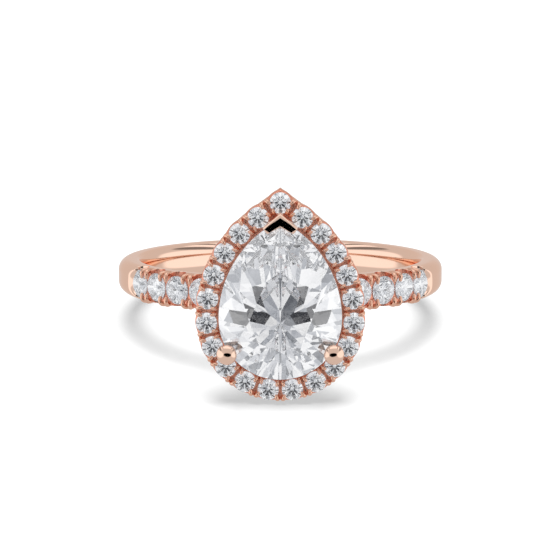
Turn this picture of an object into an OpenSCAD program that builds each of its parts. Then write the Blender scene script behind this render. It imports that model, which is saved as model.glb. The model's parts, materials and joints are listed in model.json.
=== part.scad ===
// Pear halo engagement ring in rose gold, lying at rest on its head and the back of its shank.
// Row frame: origin at the centre of the finger bore, +Z up from the table, head towards -Y.
// Ring frame: finger axis along Z, head along -Y, the tip of the pear towards +Z.
// Head frame: x across the head, y towards the tip, z out from the finger axis.

/* [Shank] */
// Inside diameter of the shank (17.3 is US size 7)
finger_d = 17.3; // [16:0.1:18.5]
// Radial thickness of the shank
shank_wall = 1.6; // [1.5:0.05:1.8]
// Width of the shank along the finger
shank_w = 2.1; // [2.1:0.05:2.4]
// Rounding of the two outer edges of the shank
outer_round = 0.7; // [0.5:0.05:0.75]
// Rounding of the two comfort-fit inner edges of the shank
inner_round = 0.5; // [0.3:0.05:0.6]

/* [Shoulder stones] */
// Stones down each shoulder
shoulder_count = 5; // [4:1:5]
// Diameter of a shoulder stone
shoulder_d = 1.7; // [1.7:0.05:1.8]
// Space between two neighbouring shoulder stones
shoulder_gap = 0.16; // [0.06:0.01:0.18]
// Angle round the shank from the head to the first shoulder stone
shoulder_start = 17.6; // [17.6:0.1:19]

/* [Centre stone] */
// Width of the pear
pear_w = 7.0; // [6.8:0.05:7.2]
// Length of the pear
pear_l = 9.15; // [9:0.05:9.4]
// Height of the crown above the girdle
pear_crown = 1.0; // [0.9:0.05:1.1]
// Thickness of the girdle
pear_girdle = 0.08; // [0.06:0.01:0.12]
// Depth of the pavilion below the girdle
pear_pavilion = 3.0; // [2.8:0.05:3]

/* [Halo] */
// Stones down each side of the halo, beside the one at the tip
halo_pairs = 10; // [10:1:10]
// Diameter of a halo stone
halo_d = 1.21; // [1.15:0.01:1.22]
// Distance from the edge of the pear out to the line of the halo stones
halo_line = 0.72; // [0.7:0.01:0.76]
// Distance from the line of the halo stones out to the edge of the plate
halo_edge = 0.65; // [0.63:0.01:0.7]
// Thickness of the halo plate
halo_thick = 0.88; // [0.8:0.02:1]
// Height of the halo plate's front face above the shank's outer face
halo_rise = 3.58; // [3.5:0.02:3.7]

/* [Hidden] */
$fn = 64;
eps = 0.01;
big = 40;

// Shank
finger_r = finger_d / 2;
shank_r = finger_r + shank_wall;

// Proportions of a round brilliant, as fractions of its diameter
brilliant_table = 0.57;
brilliant_crown = 0.15;
brilliant_girdle = 0.03;
brilliant_pavilion = 0.43;
brilliant_star = 0.76;
brilliant_lower = 0.24;
// Mains round a stone, and girdle points for each main
mains = 8;
round_steps = 2;
pear_steps = 4;

// Shoulder stones: angles round the shank and radii from the finger axis
shoulder_table_r = shank_r - 0.02;
shoulder_girdle_r = shoulder_table_r - brilliant_crown * shoulder_d;
shoulder_floor_r = shoulder_girdle_r - brilliant_girdle * shoulder_d;
shoulder_step = (shoulder_d + shoulder_gap) / shoulder_table_r * 180 / PI;
shoulder_end = shoulder_start + (shoulder_count - 1) * shoulder_step;
seat_clear = 0.02;
shoulder_hole_d = 0.6;
notch_r = 0.55;
shoulder_prong_r = 0.17;
shoulder_prong_tip_r = 0.19;
shoulder_prong_spread = 0.2;
shoulder_prong_out = 0.8;
shoulder_prong_h = 0.2;

// Pear outline: a half circle of radius pear_r, closed by two arcs of radius pear_c + pear_r
// whose centres lie pear_c to either side of the centre of the half circle
pear_r = pear_w / 2;
pear_h = pear_l - pear_r;
pear_c = (pear_h * pear_h - pear_r * pear_r) / (2 * pear_r);
pear_table = 0.58;
pear_star = 0.77;
pear_lower = 0.26;
// The centre of the half circle sits this far below the middle of the shank
pear_drop = 0.71;
girdle_z = shank_r + halo_rise + 0.5;

// Halo: line of the stones, from the tip down each side to the middle of the round end
line_r = pear_r + halo_line;
line_side = pear_c + line_r;
line_tip = acos(pear_c / line_side);
line_bend = line_side * line_tip * PI / 180;
line_half = line_bend + line_r * PI / 2;
halo_first = 1.45;
halo_step = (line_half - halo_first) / (halo_pairs - 0.5);
halo_tip_y = line_side * sin(line_tip) + 0.12;
halo_top_z = shank_r + halo_rise;
halo_bottom_z = halo_top_z - halo_thick;
halo_girdle_z = halo_top_z + brilliant_girdle * halo_d;
halo_inner = -0.3;
halo_outer_r = line_r + halo_edge;
halo_point = 7.45;
halo_hole_d = 0.5;
halo_prong_r = 0.09;
halo_prong_tip_r = 0.13;
halo_prong_spread = 0.16;
halo_prong_out = 0.45;
halo_tip_prong_in = 0.25;
halo_prong_h = 0.19;

// Gallery: a pear wire under the stone, a saddle on the shank, and posts up to the halo
gallery_z = shank_r + 0.95;
gallery_wire_r = 0.38;
gallery_in = -1.75;
post_r = 0.3;
post_top_out = 0.1;
// The posts stand below these gaps between halo stones, counted from the tip
post_gaps = [2, 5];
saddle_l = 3.1;
saddle_w = 1.7;

// Claws that hold the centre stone
// Gap between halo stones, counted from the tip, that a round claw stands in
claw_gap = 7;
claw_reach = 3.62;
claw_wire_r = 0.42;
claw_dome_r = 0.58;
claw_dome_z = girdle_z + 0.36;
// Plan of the V claw over the tip, right half first
v_outline = [[0, 6.19], [1.0, 5.25], [0.72, 4.89], [0, 5.27], [-0.72, 4.89], [-1.0, 5.25]];
v_top_z = girdle_z + 0.6;
v_bottom_z = girdle_z - 1.0;
v_step_z = halo_top_z + 0.36;
v_wire_r = 0.42;

// Angle by which the ring leans back when the halo and the back of the shank touch the table
lean_y = shank_r - outer_round + halo_bottom_z;
lean_z = pear_drop + halo_outer_r - (shank_w / 2 - outer_round);
lean = atan2(lean_z, lean_y) - asin(outer_round / norm([lean_y, lean_z]));

gold = [0.93, 0.79, 0.70];
diamond = [0.90, 0.92, 0.95];

sides = ["left", "right"];

// ---- Frames ----

// Lays the ring at rest on the table
module at_rest() {
    rotate([-lean, 0, 0]) children();
}

// Head frame, with its origin on the finger axis below the centre of the pear's half circle
module on_head() {
    at_rest() translate([0, 0, -pear_drop]) rotate([90, 0, 0]) children();
}

// Place on the shank: angle a from the head, z out from the finger axis, y along the finger
module on_shank(a) {
    rotate([0, 0, a]) rotate([90, 0, 0]) children();
}

// +1 for the right side, -1 for the left
function side_sign(s) = s == "right" ? 1 : -1;

// ---- Curves of the head ----

// Point and outward direction at distance s along the line of the halo stones from its tip,
// d further out, on the right side
function line_angle(s) = s < line_bend
    ? line_tip - s / line_side * 180 / PI
    : -(s - line_bend) / line_r * 180 / PI;
function line_point(s, d = 0) = s < line_bend
    ? [(line_side + d) * cos(line_angle(s)) - pear_c, (line_side + d) * sin(line_angle(s))]
    : [(line_r + d) * cos(line_angle(s)), (line_r + d) * sin(line_angle(s))];

// Distance round the line to the middle of gap i between halo stones, and to stone i before it
function gap_place(i) = halo_first + (i - 0.5) * halo_step;
function stone_place(i) = halo_first + (i - 1) * halo_step;

// Centre of right-hand halo stone i: 0 is the tip stone, and one past the last is its mirror image
function halo_spot(i) = i == 0
    ? [0, halo_tip_y]
    : i > halo_pairs
        ? [-line_point(stone_place(halo_pairs))[0], line_point(stone_place(halo_pairs))[1]]
        : line_point(stone_place(i));

// Distance from the centre of the half circle to the pear's edge, in direction a
function pear_reach(a) = sin(a) <= 0
    ? pear_r
    : -pear_c * abs(cos(a)) + sqrt(pow(pear_c * cos(a), 2) + pow(pear_c + pear_r, 2) - pow(pear_c, 2));

// Solid outline d outside the edge of the pear
module pear_outline(d) {
    r = pear_r + d;
    circle(r);
    intersection() {
        translate([-pear_c, 0]) circle(pear_c + r, $fn = 128);
        translate([pear_c, 0]) circle(pear_c + r, $fn = 128);
        translate([-r, 0]) square([2 * r, 2 * r + pear_c]);
    }
}

// Round wire along the pear, d outside its edge
module pear_wire(d, wire_r) {
    r = pear_r + d;
    tip = acos(pear_c / (pear_c + r));
    rotate([0, 0, 180]) rotate_extrude(angle = 180) translate([r, 0]) circle(wire_r, $fn = 32);
    for (m = [0, 1]) mirror([m, 0, 0]) translate([-pear_c, 0, 0])
        rotate_extrude(angle = tip) translate([pear_c + r, 0]) circle(wire_r, $fn = 32);
    translate([0, (pear_c + r) * sin(tip), 0]) sphere(wire_r, $fn = 32);
}

// Cylinder of radius r from point a to point b
module rod(a, b, r) {
    v = b - a;
    translate(a) rotate([0, acos(v[2] / norm(v)), atan2(v[1], v[0])]) cylinder(r = r, h = norm(v));
}

// ---- Stones ----

// Brilliant with its girdle's upper edge at z = 0. edge is the girdle outline, steps points for
// each main; table, star and lower are fractions of the way from the centre out to that outline
module brilliant(edge, steps, table, star, lower, crown, girdle, pavilion) {
    n = mains * steps;
    half = steps / 2;
    // The star tips lie in the planes of the kite facets on either side of them
    reach = cos(180 / mains);
    star_z = crown * (1 - star * reach) / (1 - table);
    lower_z = -girdle - pavilion * (1 - lower * reach);
    points = concat(
        [for (k = [0 : mains - 1]) [table * edge[k * steps][0], table * edge[k * steps][1], crown]],
        [for (k = [0 : mains - 1]) [star * edge[k * steps + half][0], star * edge[k * steps + half][1], star_z]],
        [for (p = edge) [p[0], p[1], 0]],
        [for (p = edge) [p[0], p[1], -girdle]],
        [for (k = [0 : mains - 1]) [lower * edge[k * steps + half][0], lower * edge[k * steps + half][1], lower_z]],
        [[0, 0, -girdle - pavilion]]
    );
    t = 0;
    s = mains;
    g = 2 * mains;
    b = g + n;
    l = b + n;
    culet = l + mains;
    next = function(k) (k + 1) % mains;
    prev = function(k) (k + mains - 1) % mains;
    faces = concat(
        [[for (k = [mains - 1 : -1 : 0]) t + k]],
        [for (k = [0 : mains - 1]) [t + k, t + next(k), s + k]],
        [for (k = [0 : mains - 1]) [t + k, s + k, g + k * steps]],
        [for (k = [0 : mains - 1]) [t + k, g + k * steps, s + prev(k)]],
        [for (k = [0 : mains - 1], j = [0 : steps - 1])
            [s + k, g + (k * steps + j + 1) % n, g + k * steps + j]],
        [for (j = [0 : n - 1]) [g + j, g + (j + 1) % n, b + (j + 1) % n]],
        [for (j = [0 : n - 1]) [g + j, b + (j + 1) % n, b + j]],
        [for (k = [0 : mains - 1], j = [0 : steps - 1])
            [l + k, b + k * steps + j, b + (k * steps + j + 1) % n]],
        [for (k = [0 : mains - 1]) [culet, b + k * steps, l + k]],
        [for (k = [0 : mains - 1]) [culet, l + prev(k), b + k * steps]]
    );
    polyhedron(points = points, faces = faces);
}

// Round brilliant of diameter d
module round_brilliant(d) {
    n = mains * round_steps;
    brilliant([for (j = [0 : n - 1]) d / 2 * [cos(360 * j / n), sin(360 * j / n)]], round_steps,
        brilliant_table, brilliant_star, brilliant_lower,
        brilliant_crown * d, brilliant_girdle * d, brilliant_pavilion * d);
}

// Pear brilliant about the centre of its half circle, one main pointing at the tip
module pear_brilliant() {
    n = mains * pear_steps;
    turn = function(j) 90 + 360 * j / n;
    brilliant([for (j = [0 : n - 1]) pear_reach(turn(j)) * [cos(turn(j)), sin(turn(j))]], pear_steps,
        pear_table, pear_star, pear_lower, pear_crown, pear_girdle, pear_pavilion);
}

// Room for a round stone: its girdle, its pavilion, the space above it and a hole below it
module seat(d, hole_d, hole_l) {
    r = d / 2 + seat_clear;
    cone_h = brilliant_pavilion * d + 2 * seat_clear;
    floor_z = -brilliant_girdle * d - eps;
    translate([0, 0, floor_z]) cylinder(r = r, h = d);
    translate([0, 0, floor_z - cone_h]) cylinder(r1 = seat_clear, r2 = r, h = cone_h);
    translate([0, 0, floor_z - hole_l]) cylinder(d = hole_d, h = hole_l);
}

// ---- Shank ----

// Section of the shank: x out from the finger axis, y along the finger
module shank_section() {
    half = shank_w / 2;
    translate([finger_r + inner_round, -half])
        square([shank_wall - inner_round - outer_round, shank_w]);
    translate([finger_r, -half + inner_round])
        square([shank_wall - outer_round, shank_w - 2 * inner_round]);
    translate([finger_r + inner_round, -half + outer_round])
        square([shank_wall - inner_round, shank_w - 2 * outer_round]);
    for (m = [-1, 1]) {
        translate([finger_r + inner_round, m * (half - inner_round)]) circle(inner_round);
        translate([shank_r - outer_round, m * (half - outer_round)]) circle(outer_round);
    }
}

// Solid ring with the shank's outer shape and no bore, for cutting a fit against it
module shank_body() {
    rotate_extrude($fn = 180) {
        shank_section();
        translate([0, -shank_w / 2]) square([finger_r + inner_round, shank_w]);
    }
}

// Angle of a shoulder stone, number i outwards from the head, on side s
function shoulder_angle(i, s) = side_sign(s) * (shoulder_start + (i - 1) * shoulder_step);

// Channel between the two ends of a pave row, down to the floor that the girdles rest on
module shoulder_channel() {
    from = shoulder_start - shoulder_step / 2 - 1.2;
    rotate([0, 0, from - 90]) rotate_extrude(angle = shoulder_end - from, $fn = 180)
        translate([shoulder_floor_r, -shank_w]) square([2, 2 * shank_w]);
    on_shank(shoulder_end) translate([0, 0, shoulder_floor_r])
        cylinder(r = shoulder_d / 2 + 2 * seat_clear, h = 2);
}

module shank() {
    color(gold) at_rest() difference() {
        rotate_extrude($fn = 180) shank_section();
        for (s = [0, 1]) mirror([s, 0, 0]) shoulder_channel();
        for (s = sides, i = [1 : shoulder_count]) on_shank(shoulder_angle(i, s)) {
            translate([0, 0, shoulder_girdle_r]) seat(shoulder_d, shoulder_hole_d, 2);
            translate([0, 0, shoulder_floor_r]) rotate([90, 0, 0])
                cylinder(r = notch_r, h = 2 * shank_w, center = true);
        }
    }
}

module shoulder_stone(i, s) {
    color(diamond) at_rest() on_shank(shoulder_angle(i, s))
        translate([0, 0, shoulder_girdle_r]) round_brilliant(shoulder_d);
}

// Split prongs: a pair at each edge of the shank, before the first stone and between neighbours
module shoulder_prongs(s) {
    color(gold) at_rest() for (i = [1 : shoulder_count], e = [-1, 1], p = [-1, 1])
        on_shank(shoulder_angle(i, s) - side_sign(s) * shoulder_step / 2)
            translate([p * shoulder_prong_spread, e * shoulder_prong_out, shoulder_floor_r]) {
                cylinder(r = shoulder_prong_r, h = shoulder_prong_h, $fn = 24);
                translate([0, 0, shoulder_prong_h]) sphere(shoulder_prong_tip_r, $fn = 24);
            }
}

// ---- Halo ----

// Edge of the halo plate: the pear carried outwards, drawn out to a point over the tip by two
// straight lines that touch the side arcs
module halo_outline() {
    side_r = pear_c + halo_outer_r;
    touch = atan2(halo_point, pear_c) - acos(side_r / norm([pear_c, halo_point]));
    steps = 24;
    right = concat(
        [for (k = [0 : steps]) let (a = touch * (1 - k / steps))
            [side_r * cos(a) - pear_c, side_r * sin(a)]],
        [for (k = [1 : steps]) halo_outer_r * [cos(-90 * k / steps), sin(-90 * k / steps)]]
    );
    left = [for (k = [len(right) - 2 : -1 : 0]) [-right[k][0], right[k][1]]];
    polygon(concat([[0, halo_point]], right, left));
}

module halo_plate() {
    color(gold) on_head() difference() {
        translate([0, 0, halo_bottom_z]) linear_extrude(halo_thick) halo_outline();
        translate([0, 0, halo_bottom_z - 1]) linear_extrude(halo_thick + 2) pear_outline(halo_inner);
        translate(concat(halo_spot(0), halo_girdle_z)) seat(halo_d, halo_hole_d, 2);
        for (m = [0, 1], i = [1 : halo_pairs]) mirror([m, 0, 0])
            translate(concat(halo_spot(i), halo_girdle_z)) seat(halo_d, halo_hole_d, 2);
        for (m = [0, 1]) mirror([m, 0, 0]) claw_wire(claw_wire_r + eps);
    }
}

module halo_stone_tip() {
    color(diamond) on_head() translate(concat(halo_spot(0), halo_girdle_z)) round_brilliant(halo_d);
}

module halo_stone(i, s) {
    color(diamond) on_head() translate([side_sign(s) * halo_spot(i)[0], halo_spot(i)[1], halo_girdle_z])
        rotate([0, 0, side_sign(s) * line_angle(stone_place(i))]) round_brilliant(halo_d);
}

// One small prong standing on the plate
module halo_prong() {
    cylinder(r = halo_prong_r, h = halo_prong_h, $fn = 16);
    translate([0, 0, halo_prong_h]) sphere(halo_prong_tip_r, $fn = 16);
}

// Pair of prongs between right-hand stones i and i + 1, out from their line by d. The gap at the
// round end lies on the mirror line, so each side gives one of its prongs
module halo_prong_pair(i, d) {
    a = halo_spot(i);
    b = halo_spot(i + 1);
    along = (b - a) / norm(b - a);
    out = [-along[1], along[0]];
    for (p = i < halo_pairs ? [-1, 1] : [-1])
        translate(concat((a + b) / 2 + p * halo_prong_spread * along + d * out, halo_top_z)) halo_prong();
}

module halo_prongs_outer() {
    color(gold) on_head() for (m = [0, 1], i = [0 : halo_pairs]) mirror([m, 0, 0])
        halo_prong_pair(i, halo_prong_out);
}

// The round claws take the place of the inner prongs in their gaps
module halo_prongs_inner() {
    color(gold) on_head() for (m = [0, 1], i = [0 : halo_pairs]) mirror([m, 0, 0])
        if (i != claw_gap) halo_prong_pair(i, i == 0 ? -halo_tip_prong_in : -halo_prong_out);
}

// ---- Gallery ----

// Point at distance s round the line of the halo stones, carried d outwards, at height z
function carried(s, d, z) = concat(line_point(s, d - halo_line), z);

module gallery_wire_body() {
    translate([0, 0, gallery_z]) pear_wire(gallery_in, gallery_wire_r);
}

module gallery_wire() {
    color(gold) on_head() gallery_wire_body();
}

// Post from the gallery wire up to the underside of the halo plate
module gallery_post(place) {
    a = carried(place, gallery_in, gallery_z);
    b = carried(place, post_top_out, halo_bottom_z + 0.4);
    difference() {
        rod(a, b, post_r);
        gallery_wire_body();
        translate([-big / 2, -big / 2, halo_bottom_z]) cube([big, big, 2]);
    }
}

module side_post(i, s) {
    color(gold) on_head() mirror([s == "left" ? 1 : 0, 0, 0]) gallery_post(gap_place(post_gaps[i - 1]));
}

// Saddle that joins the gallery wire to the top of the shank, round at both ends
module gallery_saddle() {
    end = (saddle_l - saddle_w) / 2;
    color(gold) at_rest() difference() {
        translate([0, 2 - gallery_z, 0]) rotate([90, 0, 0]) linear_extrude(2) {
            for (m = [-1, 1]) translate([m * end, 0]) circle(d = saddle_w);
            square([2 * end, saddle_w], center = true);
        }
        shank_body();
        translate([0, 0, -pear_drop]) rotate([90, 0, 0]) gallery_wire_body();
    }
}

// ---- Centre stone and its claws ----

module centre_stone() {
    color(diamond) on_head() translate([0, 0, girdle_z]) pear_brilliant();
}

// Cone stack that just clears the round end of the pear, for cutting the claws' seats
module round_end_room() {
    r = pear_r + seat_clear;
    slope = pear_crown / (1 - pear_table) / pear_r;
    translate([0, 0, -pear_girdle]) cylinder(r = r, h = pear_girdle + eps);
    translate([0, 0, -pear_girdle - pear_pavilion]) cylinder(r1 = eps, r2 = r, h = pear_pavilion);
    cylinder(r1 = r, r2 = r - pear_crown / slope, h = pear_crown);
}

// Direction from the centre of the half circle to the right claw
function claw_aim() = let (a = line_angle(gap_place(claw_gap))) [cos(a), sin(a)];

// Wire of the right claw, from the gallery to above the girdle
module claw_wire(r) {
    aim = claw_aim();
    low = (pear_r + gallery_in) * aim;
    high = (claw_reach - 0.12) * aim;
    rod(concat(low, gallery_z), concat(high, claw_dome_z), r);
}

module claw() {
    difference() {
        union() {
            claw_wire(claw_wire_r);
            translate(concat(claw_reach * claw_aim(), claw_dome_z)) sphere(claw_dome_r);
        }
        translate([0, 0, girdle_z]) round_end_room();
        gallery_wire_body();
    }
}

module claw_left() {
    color(gold) on_head() mirror([1, 0, 0]) claw();
}

module claw_right() {
    color(gold) on_head() claw();
}

// Layer of the V claw between two heights, kept within the pear carried outwards by d
module v_layer(low, high, d) {
    translate([0, 0, low]) linear_extrude(high - low) intersection() {
        polygon(v_outline);
        pear_outline(d);
    }
}

// V-shaped claw that guards the tip of the pear, with the wire that carries it
module v_claw() {
    color(gold) on_head() difference() {
        union() {
            translate([0, 0, v_step_z]) linear_extrude(v_top_z - v_step_z) polygon(v_outline);
            v_layer(halo_top_z, v_step_z, halo_line - halo_d / 2 - 2 * seat_clear);
            v_layer(v_bottom_z, halo_top_z, halo_inner - eps);
            rod([0, pear_h + gallery_in + 0.1, gallery_z], [0, pear_h - 0.55, v_bottom_z + 0.35], v_wire_r);
        }
        translate([0, 0, girdle_z]) scale(1 + 2 * eps / pear_w) pear_brilliant();
        gallery_wire_body();
    }
}

// ---- Drawing ----

shank();
gallery_saddle();
gallery_wire();
halo_plate();
halo_prongs_outer();
halo_prongs_inner();
shoulder_prongs("left");  // shoulder_prongs_left
shoulder_prongs("right");  // shoulder_prongs_right
claw_left();
claw_right();
v_claw();
centre_stone();
halo_stone_tip();
color(gold) on_head() gallery_post(line_half);  // gallery_post_bottom
for (s = sides, i = [1 : len(post_gaps)])
    side_post(i, s);
for (s = sides, i = [1 : shoulder_count])
    shoulder_stone(i, s);
for (s = sides, i = [1 : halo_pairs])
    halo_stone(i, s);
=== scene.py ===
"""Looks for the pear halo engagement ring: faceted stones, polished rose gold and a white studio.

Pieces are made in millimetres, in one of three frames, and end up in metres in the row frame.
Ring frame: finger axis along z, head towards -y. Head frame: x across the head, y towards the pear's
tip, z out from the finger axis. Shoulder frame: x round the shank, y across it, z out from the finger.
"""
import json
import math

import bmesh
import bpy
from mathutils import Matrix, Vector


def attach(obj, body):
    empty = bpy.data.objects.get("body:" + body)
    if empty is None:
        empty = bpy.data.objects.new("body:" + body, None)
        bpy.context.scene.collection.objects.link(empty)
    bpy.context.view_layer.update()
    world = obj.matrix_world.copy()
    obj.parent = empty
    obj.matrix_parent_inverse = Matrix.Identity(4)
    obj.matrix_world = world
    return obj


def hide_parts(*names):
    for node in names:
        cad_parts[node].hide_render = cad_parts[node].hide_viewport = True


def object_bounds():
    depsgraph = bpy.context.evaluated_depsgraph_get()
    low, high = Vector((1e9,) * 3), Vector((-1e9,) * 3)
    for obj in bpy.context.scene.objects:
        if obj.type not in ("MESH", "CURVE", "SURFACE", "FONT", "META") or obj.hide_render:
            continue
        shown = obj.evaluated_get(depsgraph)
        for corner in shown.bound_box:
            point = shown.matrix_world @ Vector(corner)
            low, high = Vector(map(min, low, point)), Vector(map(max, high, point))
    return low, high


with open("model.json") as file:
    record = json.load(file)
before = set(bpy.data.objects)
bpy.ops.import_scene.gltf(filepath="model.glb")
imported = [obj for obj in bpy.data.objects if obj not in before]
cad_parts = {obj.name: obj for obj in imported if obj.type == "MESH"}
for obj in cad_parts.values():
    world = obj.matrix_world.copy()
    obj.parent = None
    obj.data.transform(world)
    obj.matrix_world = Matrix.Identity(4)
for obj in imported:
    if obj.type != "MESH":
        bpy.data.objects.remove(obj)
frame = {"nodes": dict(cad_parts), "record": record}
cad_low, cad_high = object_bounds()
MM = 0.001

# ---- Frames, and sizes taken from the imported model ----

BORE = next(m for m in frame["record"]["mounts"] if m["name"] == "finger_bore")
LEAN = math.atan2(BORE["axis"][1], BORE["axis"][2])
RING = Matrix.Rotation(-LEAN, 4, "X") @ Matrix.Scale(MM, 4)


def box_in(node, place):
    """Lowest and highest corner of a CAD node in the frame that place leads from, in millimetres."""
    inverse = place.inverted()
    points = [inverse @ v.co for v in frame["nodes"][node].data.vertices]
    low = Vector(min(p[i] for p in points) for i in range(3))
    high = Vector(max(p[i] for p in points) for i in range(3))
    return low, high


# The head frame's origin is on the finger axis, level with the centre of the pear's round end
HEAD_TURN = Matrix.Rotation(math.radians(90), 4, "X")
PEAR_LOW, PEAR_HIGH = box_in("centre_stone", RING @ HEAD_TURN)
PEAR_R = PEAR_HIGH.x
PEAR_DROP = -(PEAR_LOW.y + PEAR_R)
HEAD = RING @ Matrix.Translation((0, 0, -PEAR_DROP)) @ HEAD_TURN

# Centre stone: a half circle of radius PEAR_R, closed by arcs whose centres lie PEAR_C to either side
PEAR_H = PEAR_HIGH.y + PEAR_DROP
PEAR_C = (PEAR_H ** 2 - PEAR_R ** 2) / (2 * PEAR_R)
PEAR_CROWN = 1.0
PEAR_GIRDLE = 0.08
PEAR_TABLE = 0.50
# The culet lies below the middle of the round end, which brings the bow tie down
PEAR_CULET = Vector((0, -0.35))
GIRDLE_Z = PEAR_HIGH.z - PEAR_CROWN
PEAR_PAVILION = GIRDLE_Z - PEAR_GIRDLE - PEAR_LOW.z

# Round brilliants, as fractions of their diameter
TABLE = 0.57
CROWN = 0.15
GIRDLE = 0.03
PAVILION = 0.43
# Heights of the star tips up the crown, and of the lower facets' tips up the pavilion
STAR_TIP = 0.69
LOWER_TIP = 0.22
MAINS = 8

# Shank
FINGER_R = BORE["dims"]["r_mm"]
SHANK_HIGH = box_in("shank", RING)[1]
SHANK_R = SHANK_HIGH.y
SHANK_HALF = SHANK_HIGH.z
INNER_ROUND = SHANK_HALF - BORE["dims"]["length_mm"] / 2
# How far the comfort-fit rounding reaches in across the width
COMFORT = 0.85
OUTER_ROUND = 0.7
# Step round the shank along its shoulders, where the skin is finest
FINE_STEP = math.radians(0.22)


def shoulder_place(angle):
    """Shoulder frame at an angle from the head, positive towards the right."""
    return RING @ Matrix.Rotation(angle, 4, "Z") @ HEAD_TURN


def stone_in(node, place):
    """Centre of a round stone's girdle, at its upper edge, and the stone's diameter."""
    low, high = box_in(node, place)
    d = high.y - low.y
    return Vector(((low.x + high.x) / 2, (low.y + high.y) / 2, high.z - CROWN * d)), d


def shoulder_angle(node):
    """Angle from the head to a shoulder stone, corrected from its box's middle to its own axis."""
    low, high = box_in(node, RING)
    angle = math.atan2(low.x + high.x, -low.y - high.y)
    for _ in range(3):
        spot = stone_in(node, shoulder_place(angle))[0]
        angle += math.atan2(spot.x, spot.z)
    return angle


SHOULDER_NODES = sorted(n for n in frame["nodes"] if n.startswith("shoulder_stone_right"))
SHOULDER_ANGLES = [shoulder_angle(n) for n in SHOULDER_NODES]
SHOULDER_STEP = SHOULDER_ANGLES[1] - SHOULDER_ANGLES[0]
SHOULDER_SPOT, SHOULDER_D = stone_in(SHOULDER_NODES[0], shoulder_place(SHOULDER_ANGLES[0]))
SHOULDER_FLOOR = SHOULDER_SPOT.z - GIRDLE * SHOULDER_D
# Room between a stone's girdle and its seat
SEAT_CLEAR = 0.02
# Depth of a seat's cone, as a fraction of its stone's diameter: a little below the culet
SEAT_DEEP = PAVILION + 0.05
# Where the pave channel starts, before the first pair of prongs, and the slopes of its two ends
CHANNEL_LEAD = math.radians(1.2)
START_SLOPE = 6
END_SLOPE = 1.4
# U cut through under each stone, and the slope of its sides above the round part
NOTCH_R = 0.55
NOTCH_SLOPE = 3
# Holes drilled below the stones
SHOULDER_DRILL = 0.6
HALO_DRILL = 0.5

# Halo
HALO_LOW, HALO_HIGH = box_in("halo_plate", HEAD)
HALO_SPOTS = {}
for node_name in frame["nodes"]:
    if node_name.startswith("halo_stone"):
        HALO_SPOTS[node_name], HALO_D = stone_in(node_name, HEAD)
HALO_POINT = HALO_HIGH.y
# Distances from the pear's edge out to the plate's edge, its opening and the line of the halo stones
HALO_OUT = -HALO_LOW.y - PEAR_R
HALO_IN = -0.3
HALO_LINE = 0.72
HALO_TOP = HALO_HIGH.z
HALO_BOTTOM = HALO_LOW.z
# Rounding of the plate's outer edge, in front and at the back
HALO_ROUND = 0.3
HALO_FILLET = 0.12
# How far the halo's edge dips in between two stones: a share of its distance beyond them, up to a limit
DIP_SHARE = 0.45
HALO_DIP = 0.06

# Gallery
WIRE_LOW, WIRE_HIGH = box_in("gallery_wire", HEAD)
WIRE_R = (WIRE_HIGH.z - WIRE_LOW.z) / 2
WIRE_Z = (WIRE_HIGH.z + WIRE_LOW.z) / 2
WIRE_IN = WIRE_HIGH.x - WIRE_R - PEAR_R
POST_R = 0.3
# How far out from the pear's edge a post meets the plate, and the gaps between stones, counted from
# the tip, that the posts stand below
POST_OUT = 0.1
POST_GAPS = (2, 5)
# How far the saddle draws in at half its height, and how far it reaches down into the shank
SADDLE_WAIST = 0.14
SADDLE_SINK = 0.2
CLAW_LOW, CLAW_HIGH = box_in("claw_right", HEAD)
CLAW_DOME_R = 0.58
CLAW_DOME_H = 0.36
CLAW_WIRE_R = 0.42
# A gap between halo stones that is closer than this to a round claw has no inner prongs
CLAW_ROOM = 0.8
V_HIGH = box_in("v_claw", HEAD)[1]
V_LOW_Z = GIRDLE_Z - 1
# Height above the halo at which the V claw widens from its body to its cap, and of the cap's rolled edge
V_STEP_H = 0.36
V_ROLL_H = 0.16

# ---- Materials ----


# Tint of the gold's reflections at a grazing angle
EDGE_TINT = (1.0, 0.86, 0.78)
DIAMOND_IOR = 2.417


def new_material(name):
    """An empty node material, with its tree, its shader and a function that adds nodes."""
    material = bpy.data.materials.new(name)
    material.use_nodes = True
    tree = material.node_tree
    shader = next(n for n in tree.nodes if n.type == "BSDF_PRINCIPLED")

    def add(kind, **values):
        node = tree.nodes.new(kind)
        for key, value in values.items():
            if key in node.inputs:
                node.inputs[key].default_value = value
            else:
                setattr(node, key, value)
        return node

    return material, tree, shader, add


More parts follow.
